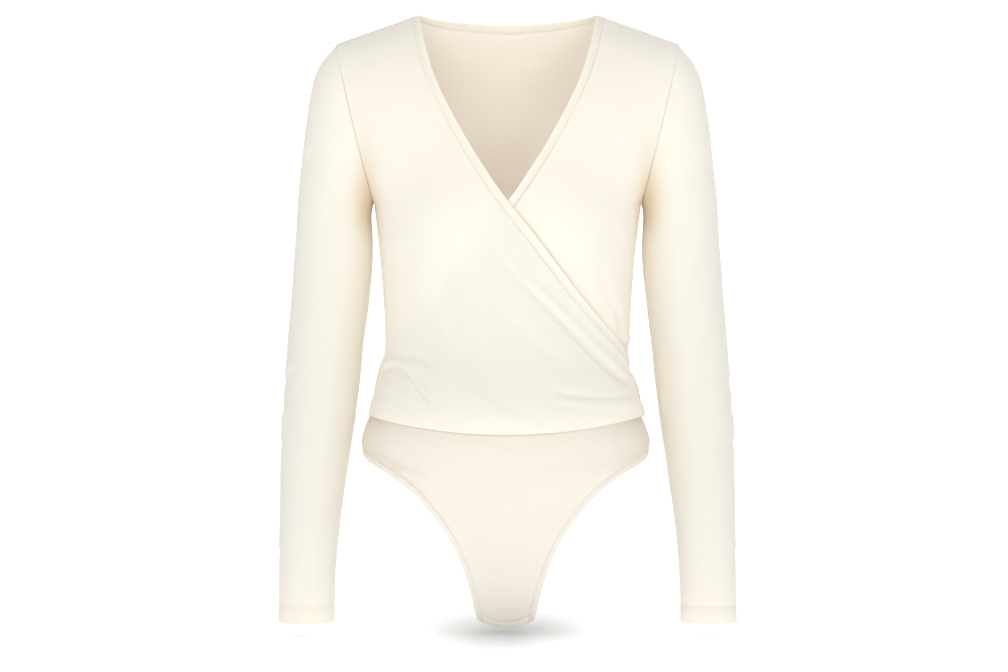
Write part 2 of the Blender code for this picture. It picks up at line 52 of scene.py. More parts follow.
def spot(px, py, depth):
    # a place in the picture, on the garment at this y
    scale = fieldWidth / picture["wide"] * (depth - camera["y"]) / -camera["y"]
    return (
        camera["x"] + (px - picture["wide"] / 2) * scale,
        camera["z"] - (py - picture["high"] / 2) * scale,
    )


class Wire:
    def __init__(self, sheet, socket):
        self.sheet = sheet
        self.socket = socket

    def maths(self, operation, first, second=0.0, clamp=False):
        settings = {"operation": operation, "use_clamp": clamp}
        return self.sheet.node("ShaderNodeMath", settings, {0: first, 1: second})

    def __add__(self, other):
        return self.maths("ADD", self, other)

    def __radd__(self, other):
        return self.maths("ADD", other, self)

    def __sub__(self, other):
        return self.maths("SUBTRACT", self, other)

    def __rsub__(self, other):
        return self.maths("SUBTRACT", other, self)

    def __mul__(self, other):
        return self.maths("MULTIPLY", self, other)

    def __rmul__(self, other):
        return self.maths("MULTIPLY", other, self)

    def __truediv__(self, other):
        return self.maths("DIVIDE", self, other)

    def __pow__(self, other):
        return self.maths("POWER", self, other)

    def sine(self):
        return self.maths("SINE", self)

    def absolute(self):
        return self.maths("ABSOLUTE", self)

    def clamped(self):
        return self.maths("ADD", self, 0.0, True)


class Sheet:
    def __init__(self, name):
        self.material = bpy.data.materials.new(name)
        self.material.use_nodes = True
        self.tree = self.material.node_tree
        self.tree.nodes.clear()

    def node(self, kind, settings, sockets, output=0):
        made = self.tree.nodes.new(kind)
        for key, value in settings.items():
            if key == "stops":
                for index, (place, colour) in enumerate(value):
                    stops = made.color_ramp.elements
                    stop = stops[index] if index < 2 else stops.new(place)
                    stop.position = place
                    stop.color = colour
            else:
                setattr(made, key, value)
        for key, value in sockets.items():
            if isinstance(value, Wire):
                self.tree.links.new(value.socket, made.inputs[key])
            else:
                made.inputs[key].default_value = value
        return Wire(self, made.outputs[output]) if made.outputs else None

    def noise(self, where, scale, detail=2.0, rough=0.5):
        sockets = {"Vector": where, "Scale": scale, "Detail": detail, "Roughness": rough}
        return self.node("ShaderNodeTexNoise", {}, sockets)

    def mix(self, share, first, second, blend="MIX"):
        # colours only: sockets 0, 6 and 7 are the factor and the two colours
        settings = {"data_type": "RGBA", "blend_type": blend}
        return self.node("ShaderNodeMix", settings, {0: share, 6: first, 7: second}, 2)

    def finish(self, sockets):
        shader = self.node("ShaderNodeBsdfPrincipled", {}, sockets)
        self.node("ShaderNodeOutputMaterial", {}, {"Surface": shader})


def colour(red, green, blue):
    return (red, green, blue, 1.0)


jerseyLook = {
    # base and pale are the cloth's own uneven tone; the warm colour is painted shade, for the
    # knit's hollows and along the seams
    "base": colour(0.90, 0.855, 0.75), "shadeWarm": colour(0.86, 0.79, 0.66),
    "pale": colour(0.91, 0.872, 0.78), "wale": 0.95 * mm, "course": 0.8 * mm,
    "roughness": 0.86, "sheen": 0.48, "relief": 0.09 * mm, "slub": 0.05 * mm,
    # painted light: the inner faces' colour is lighter and warmer than the outside, for the light
    # that reaches the inside
    "through": 0.55, "litInside": colour(0.985, 0.895, 0.775), "seam": 0.16,
    # painted shade: the colour of the armpits, the sleeves' inner sides and the thin lines under
    # free edges
    "deep": colour(0.70, 0.545, 0.375),
    "glow": colour(0.085, 0.072, 0.068),  # light that comes through the cloth, on its inner face
}
# painted shade: the brief's copy of the jersey is darker and warmer than the bodice's, against the
# light the floor gives it from below, and the leg bands take it too; less light comes through it
# and it glows less
briefLook = dict(
    jerseyLook, base=colour(0.82, 0.772, 0.692), shadeWarm=colour(0.785, 0.715, 0.61),
    pale=colour(0.83, 0.787, 0.712), through=0.2, glow=colour(0.03, 0.026, 0.022),
)
bindingLook = dict(
    jerseyLook, base=colour(0.895, 0.85, 0.748), wale=0.8 * mm, course=0.7 * mm,
    # painted light: the bindings' inner faces lighter and warmer than their outside
    litInside=colour(0.97, 0.91, 0.82),
)
briefBindingLook = dict(briefLook, wale=0.8 * mm, course=0.7 * mm)


def clothMaterial(name, look):
    sheet = Sheet(name)
    knit = sheet.node("ShaderNodeUVMap", {"uv_map": "knit"}, {})
    across = sheet.node("ShaderNodeSeparateXYZ", {}, {"Vector": knit}, 0)
    along = sheet.node("ShaderNodeSeparateXYZ", {}, {"Vector": knit}, 1)
    place = sheet.node("ShaderNodeTexCoord", {}, {}, "Object")
    seam = sheet.node("ShaderNodeAttribute", {"attribute_name": "seam"}, {}, "Fac")
    inner = sheet.node("ShaderNodeAttribute", {"attribute_name": "inner"}, {}, "Fac")
    deep = sheet.node("ShaderNodeAttribute", {"attribute_name": "deep"}, {}, "Fac")
    up = sheet.node("ShaderNodeSeparateXYZ", {}, {"Vector": place}, 2)

    # wales are columns of small leaning loops, drawn as a V in each course
    column = (across * (math.pi / look["wale"])).sine().absolute()
    loops = (along * (2 * math.pi / look["course"]) + column * 2.2).sine()
    loopHeight = column ** 0.7 * (loops * 0.3 + 0.7)
    slub = sheet.noise(place, 260.0, 3.0, 0.6)
    cloudy = sheet.noise(place, 7.0, 3.0, 0.55)
    mottled = sheet.noise(place, 90.0, 3.0, 0.6)

    height = loopHeight * look["relief"] + slub * look["slub"]
    bump = sheet.node("ShaderNodeBump", {}, {"Strength": 0.6, "Distance": 1.0, "Height": height})

    shade = ((cloudy - 0.5) * 1.1 + (mottled - 0.5) * 0.5 + 0.35).clamped()
    tint = sheet.mix(shade, look["base"], look["pale"])
    # painted shade: the knit's hollows between the loops darker and warmer
    hollowShade = ((1.0 - loopHeight) * 0.16).clamped()
    tint = sheet.mix(hollowShade, tint, look["shadeWarm"])
    # painted shade along the seams, in the cuff hem's groove and on the turned cuff below it
    tint = sheet.mix((seam * look["seam"]).clamped(), tint, look["shadeWarm"])
    # painted light: the inner faces lighter and warmer, for the light that reaches the inside
    tint = sheet.mix((inner * 0.85).clamped(), tint, look["litInside"])
    # painted shade in the armpits, on the sleeves' inner sides and under free edges
    tint = sheet.mix(deep.clamped(), tint, look["deep"])
    reach = inner * ((up + 0.27) / 0.22).clamped()  # less comes through lower down
    glow = sheet.mix(reach, colour(0.0, 0.0, 0.0), look["glow"])
    rough = look["roughness"] + (mottled - 0.5) * 0.12
    sheet.finish({
        "Base Color": tint, "Roughness": rough, "Normal": bump,
        "Sheen Weight": look["sheen"], "Sheen Roughness": 0.45,
        "Sheen Tint": colour(1.0, 0.97, 0.9), "Specular IOR Level": 0.25,
        "Subsurface Weight": look["through"], "Subsurface Scale": 2.4 * mm,
        "Subsurface Radius": (1.0, 0.94, 0.86), "Emission Color": glow, "Emission Strength": 1.0,
    })
    return sheet.material


threadLook = {
    "light": colour(0.88, 0.84, 0.74), "dark": colour(0.70, 0.64, 0.52), "twist": 2600.0,
}


def threadMaterial(look):
    sheet = Sheet("cream_thread")
    place = sheet.node("ShaderNodeTexCoord", {}, {}, "Object")
    fibres = sheet.noise(place, look["twist"], 2.0)
    worn = sheet.noise(place, 60.0, 2.0)
    tint = sheet.mix((fibres * 0.7 + worn * 0.3).clamped(), look["dark"], look["light"])
    bump = sheet.node(
        "ShaderNodeBump", {}, {"Strength": 0.4, "Distance": 1.0, "Height": fibres * 0.0001}
    )
    sheet.finish({
        "Base Color": tint, "Roughness": fibres * 0.2 + 0.5, "Normal": bump,
        "Sheen Weight": 0.1, "Specular IOR Level": 0.35,
    })
    return sheet.material


jersey = clothMaterial("cream_jersey_knit", jerseyLook)
briefJersey = clothMaterial("cream_brief_knit", briefLook)
binding = clothMaterial("cream_binding_knit", bindingLook)
briefBinding = clothMaterial("cream_brief_binding_knit", briefBindingLook)
thread = threadMaterial(threadLook)
print("materials made")


smooth = {"sharp": math.radians(50), "merge": 0.02 * mm, "levels": 3}


def bodyCore(point):
    return Vector((0.0, 0.0, point.z))


def crotchCore(point):
    return Vector((0.0, point.y, -0.5))


sleeveLine = [  # middle of the right sleeve, from the armhole to the cuff
    (0.168, 0.000, -0.105), (0.180, 0.000, -0.126), (0.186, 0.000, -0.179),
    (0.190, 0.001, -0.239), (0.198, 0.001, -0.330), (0.208, -0.005, -0.432),
    (0.216, -0.013, -0.535), (0.219, -0.018, -0.634), (0.2195, -0.019, -0.650),
]


def sleeveCore(point):
    side = math.copysign(1.0, point.x)
    best = None
    for (ax, ay, az), (bx, by, bz) in zip(sleeveLine, sleeveLine[1:]):
        a = Vector((side * ax, ay, az))
        b = Vector((side * bx, by, bz))
        share = min(1.0, max(0.0, (point - a).dot(b - a) / (b - a).length_squared))
        near = a.lerp(b, share)
        if best is None or (near - point).length < (best - point).length:
            best = near
    return best


def mergedCopy(node):
    form = bmesh.new()
    form.from_mesh(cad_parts[node].data)
    bmesh.ops.remove_doubles(form, verts=form.verts, dist=smooth["merge"])
    form.normal_update()
    return form


def joinTriangles(form):
    bmesh.ops.join_triangles(
        form, faces=form.faces, angle_face_threshold=math.radians(40),
        angle_shape_threshold=math.radians(60),
    )


def outerSkin(node, core, passes):
    # floods the solid's skins over soft edges and keeps the one that faces away from the core
    form = mergedCopy(node)
    left = set(form.faces)
    best, bestReach = [], -1e9
    while left:
        seed = left.pop()
        group, stack = [seed], [seed]
        while stack:
            for edge in stack.pop().edges:
                if len(edge.link_faces) == 2 and edge.calc_face_angle(9.0) < smooth["sharp"]:
                    for face in edge.link_faces:
                        if face in left:
                            left.remove(face)
                            group.append(face)
                            stack.append(face)
        reach = 0.0
        for face in group:
            middle = face.calc_center_median()
            reach += face.calc_area() * face.normal.dot(middle - core(middle))
        if reach > bestReach:
            best, bestReach = group, reach
    keep = set(best)
    bmesh.ops.delete(form, geom=[f for f in form.faces if f not in keep], context="FACES")
    bmesh.ops.holes_fill(form, edges=form.edges, sides=6)
    joinTriangles(form)
    for _ in range(passes):
        inner = [v for v in form.verts if not v.is_boundary]
        bmesh.ops.smooth_vert(
            form, verts=inner, factor=0.5, use_axis_x=True, use_axis_y=True, use_axis_z=True
        )
    return form


def newPiece(name, form):
    mesh = bpy.data.meshes.new(name)
    form.to_mesh(mesh)
    form.free()
    piece = bpy.data.objects.new(name, mesh)
    bpy.context.scene.collection.objects.link(piece)
    return piece


def applyModifiers(piece):
    bpy.ops.object.select_all(action="DESELECT")
    piece.select_set(True)
    bpy.context.view_layer.objects.active = piece
    for modifier in list(piece.modifiers):
        bpy.ops.object.modifier_apply(modifier=modifier.name)


def subdivide(piece, levels):
    modifier = piece.modifiers.new("smooth", "SUBSURF")
    modifier.levels = modifier.render_levels = levels
    modifier.boundary_smooth = "PRESERVE_CORNERS"
    applyModifiers(piece)


def meshTree(mesh):
    points = [v.co.copy() for v in mesh.vertices]
    return BVHTree.FromPolygons(points, [tuple(p.vertices) for p in mesh.polygons])


def readPoints(mesh):
    points = np.empty(len(mesh.vertices) * 3)
    mesh.vertices.foreach_get("co", points)
    return points.reshape(-1, 3)


def readNormals(mesh):
    normals = np.empty(len(mesh.vertices) * 3, dtype=np.float32)
    mesh.vertex_normals.foreach_get("vector", normals)
    return normals.reshape(-1, 3).astype(float)


def writePoints(mesh, points):
    mesh.vertices.foreach_set("co", points.ravel())
    mesh.update()


def step(low, high, values):
    share = np.clip((values - low) / (high - low), 0.0, 1.0)
    return share * share * (3 - 2 * share)


def foldLine(points, bends=6):
    # a smooth line through the points, cut into short straight runs
    line = []
    for index in range(len(points) - 1):
        before = points[max(0, index - 1)]
        here, there = points[index], points[index + 1]
        after = points[min(len(points) - 1, index + 2)]
        for part in range(bends):
            t = part / bends
            line.append([
                0.5 * (2 * h + (n - b) * t + (2 * b - 5 * h + 4 * n - a) * t * t
                       + (3 * h - b - 3 * n + a) * t ** 3)
                for b, h, n, a in zip(before, here, there, after)
            ])
    line.append(list(points[-1]))
    return np.array(line)


def foldRise(flat, fold, seed):
    # how far one fold lifts each place: a trough with a softer ridge on one side
    line = foldLine(fold["line"])
    nearest = np.full(len(flat), 1e9)
    beside = np.zeros(len(flat))
    along = np.zeros(len(flat))
    runs = len(line) - 1
    for index in range(runs):
        a, b = line[index], line[index + 1]
        way = b - a
        long = max(1e-9, float(way @ way))
        share = np.clip(((flat - a) @ way) / long, 0.0, 1.0)
        gap = flat - a - share[:, None] * way
        away = np.hypot(gap[:, 0], gap[:, 1])
        side = np.sign(way[0] * gap[:, 1] - way[1] * gap[:, 0])
        closer = away < nearest
        nearest = np.where(closer, away, nearest)
        beside = np.where(closer, side * away, beside)
        along = np.where(closer, (index + share) / runs, along)
    wide = fold["wide"] * mm
    uneven = 1 + 0.16 * np.sin(along * 8 + seed * 2.1) + 0.07 * np.sin(along * 19 + seed)
    ends = step(0.0, fold.get("start", 0.22), along) * step(0.0, fold.get("end", 0.25), 1 - along)
    trough = -np.exp(-((nearest / wide) ** 2))
    ridge = np.exp(-(((beside - fold.get("side", 1) * 1.7 * wide) / (1.25 * wide)) ** 2))
    return fold["deep"] * mm * uneven * ends * (trough + fold.get("ridge", 0.5) * ridge)


def pressFolds(piece, folds, flatten, weight):
    mesh = piece.data
    points, normals = readPoints(mesh), readNormals(mesh)
    flat = flatten(points)
    rise = np.zeros(len(points))
    for seed, fold in enumerate(folds):
        rise += foldRise(flat, fold, seed)
    writePoints(mesh, points + normals * (rise * weight(points, normals))[:, None])


def frontFold(pixels, wide, deep, **more):
    # a fold read from the picture, on the garment's front
    return dict(line=[spot(px, py, -0.1) for px, py in pixels], wide=wide, deep=deep, **more)


def backFold(pixels, wide, deep, **more):
    # its like on the back, placed through the same picture
    return dict(line=[spot(px, py, 0.1) for px, py in pixels], wide=wide, deep=deep, **more)


def sideFold(places, wide, deep, **more):
    # a fold on a sleeve's outer side, in millimetres from front to back and upward
    return dict(line=[(y * mm, z * mm) for y, z in places], wide=wide, deep=deep, **more)


slack = {"size": 0.045, "high": 0.45 * mm}


def ripple(piece, seed):
    # slow unevenness that cloth has where nothing pulls it
    mesh = piece.data
    points, normals = readPoints(mesh), readNormals(mesh)
    shift = Vector((seed * 3.1, seed * 1.7, seed * 2.3))
    size = slack["size"]
    lift = np.array([
        noise.noise(Vector(point) / size + shift) + 0.4 * noise.noise(Vector(point) * 2.3 / size)
        for point in points
    ])
    writePoints(mesh, points + normals * (lift * slack["high"])[:, None])


def edgePoints(mesh):
    form = bmesh.new()
    form.from_mesh(mesh)
    found = [v.index for v in form.verts if v.is_boundary]
    form.free()
    return found


def closeGap(piece, reach, tuck, trees):
    # lets the edges meet those of the pieces that they are sewn to, and tucks them under bindings
    form = bmesh.new()
    form.from_mesh(piece.data)
    moves = []
    for vert in form.verts:
        if vert.is_boundary:
            middle = Vector()
            for face in vert.link_faces:
                middle += face.calc_center_median() / len(vert.link_faces)
            out = (vert.co - middle).normalized()
            moves.append((vert, out * (tuck if boundHere(vert.co, trees) else reach)))
    for vert, move in moves:
        vert.co += move
    form.to_mesh(piece.data)
    form.free()


def farFrom(points, chosen):
    tree = kdtree.KDTree(len(chosen))
    for index in chosen:
        tree.insert(points[index], index)
    tree.balance()
    return np.array([tree.find(point)[2] for point in points])


def boundHere(point, trees):
    return any(tree.find_nearest(point, seamRoll["near"])[0] for tree in trees)


def markSeams(piece, roll, groove, trees):
    # rolls each plain edge in a little, presses a hem's line and marks how near each place is, for
    # the painted shade there
    mesh = piece.data
    points, normals = readPoints(mesh), readNormals(mesh)
    border = edgePoints(mesh)
    bound = [i for i in border if boundHere(Vector(points[i]), trees)]
    plain = sorted(set(border) - set(bound)) or bound
    away = farFrom(points, plain)
    near = np.exp(-((away / roll["width"]) ** 2))
    fall = near * roll["sink"]
    if bound:
        fall -= np.exp(-((farFrom(points, bound) / roll["swell"]) ** 2)) * roll["rise"]
    if groove:
        low = points[:, 2] < points[:, 2].min() + 3 * groove["inset"]
        line = low * np.exp(-(((away - groove["inset"]) / groove["width"]) ** 2))
        fall += line * groove["sink"]
        below = low * step(groove["inset"] + groove["width"], groove["inset"], away)
        near = np.maximum(near, np.maximum(line * groove["dark"], below * groove["below"]))
    mark = mesh.attributes.new("seam", "FLOAT", "POINT")
    mark.data.foreach_set("value", near.astype(np.float32))
    writePoints(mesh, points - normals * fall[:, None])


# where and how dark the painted shade of the armpits and of the sleeves' inner sides is
armpit = {"x": 0.153, "z": -0.193, "wide": 0.013, "high": 0.048, "dark": 0.8, "inside": 0.3}


def markPaintedShade(piece, sleeve):
    # paints shade into the armpits and the inner sides of the sleeves, where little light comes
    mesh = piece.data
    points, normals = readPoints(mesh), readNormals(mesh)
    away = (np.abs(points[:, 0]) - armpit["x"]) / armpit["wide"]
    up = (points[:, 2] - armpit["z"]) / armpit["high"]
    deep = armpit["dark"] * np.exp(-(away ** 2) - up ** 2)
    if sleeve:
        inward = step(0.1, 0.95, -normals[:, 0] * np.sign(points[:, 0]))
        reach = step(-0.05, -0.2, points[:, 2]) * step(-0.58, -0.44, points[:, 2])
        deep = np.maximum(deep, armpit["inside"] * inward * reach)
    mark = mesh.attributes.new("deep", "FLOAT", "POINT")
    mark.data.foreach_set("value", deep.astype(np.float32))


contact = {
    "band": 1.9 * mm, "hem": 1.9 * mm, "dark": 0.9, "apart": 9.0 * mm,
    "below": -0.40,  # the hem's edge is the part of a sheet's border that lies below this
}


def markShadow(piece, kind, node):
    # a painted shadow: the thin dark line where a free edge lies over this piece
    mesh = piece.data
    points = readPoints(mesh)
    if kind == "band":
        tree = bandTrees[node]
        gap = np.array([tree.find_nearest(point)[3] for point in points])
        dark = np.exp(-((gap / contact["band"]) ** 2))
    else:
        edge = [v.co for v in sheets[node].vertices if v.co.z < contact["below"]]
        tree = kdtree.KDTree(len(edge))
        for index, point in enumerate(edge):
            tree.insert(point, index)
        tree.balance()
        found = [tree.find(point) for point in points]
        below = np.array([place.z for place, _, _ in found]) - points[:, 2]
        apart = np.array([gap for _, _, gap in found])
        dark = np.exp(-((below / contact["hem"]) ** 2)) * (apart < contact["apart"])
    old = np.empty(len(points), dtype=np.float32)
    mesh.attributes["deep"].data.foreach_get("value", old)
    new = np.maximum(old, dark * contact["dark"]).astype(np.float32)
    mesh.attributes["deep"].data.foreach_set("value", new)


def knitMap(piece, centre, radius):
    # u runs round the body or the arm and v up it, both in metres
    mesh = piece.data
    mesh.uv_layers.new(name="knit")
    points = readPoints(mesh)
    offset = points - centre(points)
    turn = np.arctan2(offset[:, 0], -offset[:, 1])
    corners = np.empty(len(mesh.loops), dtype=np.int32)
    mesh.loops.foreach_get("vertex_index", corners)
    starts = np.empty(len(mesh.polygons), dtype=np.int32)
    mesh.polygons.foreach_get("loop_start", starts)
    totals = np.empty(len(mesh.polygons), dtype=np.int32)
    mesh.polygons.foreach_get("loop_total", totals)
    first = np.repeat(turn[corners[starts]], totals)
    across = turn[corners] - first
    across = (across + math.pi) % (2 * math.pi) - math.pi + first
    places = np.stack([across * radius, points[corners, 2]], axis=1)
    mesh.uv_layers["knit"].data.foreach_set("uv", places.astype(np.float32).ravel())


def bodyLine(points):
    middle = np.zeros_like(points)
    middle[:, 2] = points[:, 2]
    return middle


def armLine(points):
    line = np.array(sleeveLine)
    order = np.argsort(line[:, 2])
    side = np.sign(points[:, :1])
    x = np.interp(points[:, 2], line[order, 2], line[order, 0])
    y = np.interp(points[:, 2], line[order, 2], line[order, 1])
    return np.stack([x * side[:, 0], y, points[:, 2]], axis=1)


def giveThickness(piece, thick):
    outer = len(piece.data.vertices)
    modifier = piece.modifiers.new("wall", "SOLIDIFY")
    modifier.thickness = thick
    modifier.offset = -1.0
    modifier.use_even_offset = False
    modifier.use_rim = True
    applyModifiers(piece)
    # the wall's new points are all on its inner face
    inner = np.arange(len(piece.data.vertices)) >= outer
    mark = piece.data.attributes.new("inner", "FLOAT", "POINT")
    mark.data.foreach_set("value", inner.astype(np.float32))


def settle(piece, node, material):
    piece.data.materials.clear()
    piece.data.materials.append(material)
    for polygon in piece.data.polygons:
        polygon.use_smooth = True
    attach(piece, "root")
    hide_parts(node)


wrapFolds = [
    frontFold([(486, 240), (500, 258), (514, 274), (528, 289), (543, 303), (560, 319), (576, 335),
               (592, 351), (606, 364), (618, 375), (630, 385), (642, 394)], 4.2, 3.1,
              side=1, ridge=0.5, start=0.35, end=0.06),
    frontFold([(441, 232), (457, 250), (473, 270), (497, 302), (517, 327), (540, 346),
               (560, 362), (580, 376)], 6.5, 1.0, side=1),
    frontFold([(433, 262), (440, 290), (448, 313), (457, 340), (467, 363), (477, 380),
               (493, 394), (511, 408), (533, 417), (553, 422)], 7.6, 1.8, side=-1, ridge=0.4),
    frontFold([(372, 380), (381, 372), (392, 368), (401, 374), (413, 388), (423, 400),
               (432, 406)], 4.4, 3.0, side=1, ridge=0.6, start=0.05),
    frontFold([(380, 358), (398, 357), (417, 359), (434, 366)], 5.0, 1.9, side=-1, start=0.05),
    frontFold([(552, 391), (568, 395), (590, 398), (615, 398), (641, 396)], 3.8, 1.8,
              side=-1, ridge=0.6, end=0.08),
    frontFold([(366, 400), (380, 397), (398, 404), (416, 416)], 4.5, 1.2, side=1, start=0.1),
    frontFold([(400, 236), (402, 270), (405, 305), (404, 338)], 9.0, 1.0, side=1, ridge=0.2),
]
underFolds = [
    frontFold([(618, 306), (623, 322), (625, 338), (622, 352)], 3.6, 1.3, side=-1),
    frontFold([(600, 262), (608, 286), (615, 308)], 5.5, 0.8, side=1),
]
backFolds = [
    backFold([(366, 350), (384, 355), (404, 366), (424, 381), (442, 399)], 4.6, 2.6, side=1),
    backFold([(364, 379), (380, 378), (400, 386), (420, 401)], 4.0, 2.0, side=-1),
    backFold([(644, 345), (622, 352), (600, 365), (580, 381), (563, 400)], 4.8, 2.8, side=-1),
    backFold([(646, 381), (626, 380), (606, 389), (588, 403)], 3.8, 1.9, side=1),
    backFold([(380, 326), (410, 338), (450, 345), (497, 343)], 6.5, 1.4, side=1),
    backFold([(632, 318), (600, 331), (560, 340), (521, 338)], 6.2, 1.3, side=-1),
    backFold([(452, 296), (459, 330), (470, 364), (475, 402)], 8.5, 1.2, side=1, ridge=0.3),
    backFold([(553, 290), (547, 328), (538, 366), (535, 404)], 8.5, 1.2, side=-1, ridge=0.3),
    backFold([(418, 408), (460, 415), (512, 416), (566, 409)], 5.5, 1.0, side=1),
    backFold([(378, 186), (398, 212), (413, 244), (420, 284)], 7.0, 1.4, side=1, start=0.1),
    backFold([(630, 184), (610, 212), (597, 247), (589, 286)], 7.5, 1.3, side=-1, start=0.1),
]
leftArmFolds = [
    frontFold([(373, 166), (361, 178), (347, 195), (335, 219)], 4.6, 1.0, side=1, start=0.1),
    frontFold([(374, 186), (365, 205), (354, 230), (346, 258)], 4.8, 1.0, side=1, start=0.1),
    frontFold([(362, 366), (347, 372), (331, 383), (316, 397)], 4.4, 0.8, side=1, start=0.1),
    frontFold([(360, 389), (343, 392), (326, 401)], 3.8, 0.7, side=-1, start=0.1),
    frontFold([(354, 419), (338, 420), (322, 413)], 4.2, 0.6, side=1, start=0.1),
    frontFold([(342, 548), (326, 556), (306, 556)], 3.6, 0.5, side=1, start=0.1),
    frontFold([(286, 571), (300, 579), (317, 580)], 3.4, 0.5, side=-1, start=0.1),
]
rightArmFolds = [
    frontFold([(641, 164), (654, 178), (668, 197), (679, 222)], 4.8, 1.0, side=-1, start=0.1),
    frontFold([(641, 190), (650, 212), (660, 238), (667, 268)], 4.8, 1.0, side=-1, start=0.1),
    frontFold([(655, 372), (670, 379), (686, 389), (699, 402)], 4.2, 0.8, side=-1, start=0.1),
    frontFold([(657, 396), (674, 399), (690, 408)], 4.0, 0.7, side=1, start=0.1),
    frontFold([(662, 428), (678, 428), (694, 420)], 4.0, 0.6, side=-1, start=0.1),
    frontFold([(676, 541), (692, 550), (711, 551)], 3.6, 0.5, side=-1, start=0.1),
    frontFold([(731, 577), (716, 584), (700, 584)], 3.2, 0.5, side=1, start=0.1),
]
leftArmBackFolds = [
    backFold([(372, 172), (360, 188), (347, 210), (340, 240)], 5.0, 1.7, side=1, start=0.1),
    backFold([(366, 352), (350, 362), (334, 376), (322, 396)], 4.6, 1.7, side=1, start=0.1),
    backFold([(362, 384), (346, 388), (328, 399), (314, 414)], 4.2, 1.5, side=-1, start=0.1),
    backFold([(356, 414), (340, 417), (322, 428)], 4.4, 1.2, side=1, start=0.1),
    backFold([(340, 530), (324, 538), (306, 536)], 3.8, 0.9, side=1, start=0.1),
]
rightArmBackFolds = [
    backFold([(642, 176), (655, 192), (667, 215), (674, 246)], 5.2, 1.5, side=-1, start=0.1),
    backFold([(650, 358), (665, 367), (681, 380), (692, 399)], 4.4, 1.7, side=-1, start=0.1),
    backFold([(655, 391), (671, 394), (688, 404), (701, 418)], 4.4, 1.4, side=1, start=0.1),
    backFold([(660, 420), (676, 424), (693, 434)], 4.0, 1.2, side=-1, start=0.1),
    backFold([(678, 538), (694, 545), (711, 542)], 3.6, 0.9, side=-1, start=0.1),
]
outerArmFolds = [
    sideFold([(-34, -372), (-18, -384), (2, -390), (24, -384)], 5.2, 1.4, side=1),
    sideFold([(-38, -410), (-20, -413), (0, -424), (20, -440)], 4.8, 1.2, side=-1),
    sideFold([(-30, -448), (-10, -455), (12, -452)], 5.0, 0.9, side=1),
    sideFold([(-36, -130), (-24, -156), (-12, -190), (-6, -230)], 7.0, 0.9, side=1),
    sideFold([(28, -120), (20, -150), (10, -186), (6, -226)], 7.0, 0.9, side=-1),
    sideFold([(-48, -566), (-30, -574), (-10, -571), (6, -562)], 4.4, 0.8, side=1),
]


def seen(points):
    return points[:, [0, 2]]


def seenAside(points):
    return points[:, [1, 2]]


bodyHalf = {"wide": 0.147, "deep": 0.095}
sideBumps = {  # the outline's bumps and notches: side, place, reach and rise in millimetres
    "left": [(-1, 376, 9, 2.4), (-1, 357, 5, -0.8), (-1, 394, 5, -1.0)],
    "right": [(1, 340, 7, 2.2), (1, 369, 6, -3.4), (1, 388, 9, 4.6), (1, 409, 10, 3.0)],
}


def bulgeSides(piece):
    # gathers at the side seams, the same on every piece that meets there
    mesh = piece.data
    points = readPoints(mesh)
    out = points * (1 / bodyHalf["wide"] ** 2, 1 / bodyHalf["deep"] ** 2, 0.0)
    out /= np.linalg.norm(out, axis=1)[:, None]
    rise = np.zeros(len(points))
    for bumps in sideBumps.values():
        for side, py, reach, high in bumps:
            z = spot(0, py, 0.0)[1]
            near = np.exp(-(((points[:, 2] - z) / (reach * 1.1 * mm)) ** 2))
            rise += near * high * mm * step(0.6, 0.97, side * out[:, 0])
    writePoints(mesh, points + out * rise[:, None])


# where the wrap's free edge meets the side seam, and how far out each piece comes there
wrapEnd = {
    "front_under": {"z": -0.376, "high": 0.022, "wide": 8.0 * mm, "rise": 5.6 * mm},
    "bodice_back": {"z": -0.374, "high": 0.018, "wide": 8.0 * mm, "rise": 2.2 * mm},
}


def liftToSeam(piece, lift):
    points = readPoints(piece.data)
    near = np.exp(-((points[:, 1] / lift["wide"]) ** 2)) * (points[:, 0] > 0)
    near *= np.exp(-(((points[:, 2] - lift["z"]) / lift["high"]) ** 4))
    points[:, 0] += near * lift["rise"]
    writePoints(piece.data, points)


def frontWeight(points, normals):
    return step(0.15, 0.6, -normals[:, 1])


def backWeight(points, normals):
    return step(0.15, 0.6, normals[:, 1])


def outerWeight(points, normals):
    return step(0.3, 0.75, normals[:, 0] * np.sign(points[:, 0]))


foldSides = {
    "front": (seen, frontWeight), "back": (seen, backWeight), "aside": (seenAside, outerWeight),
}

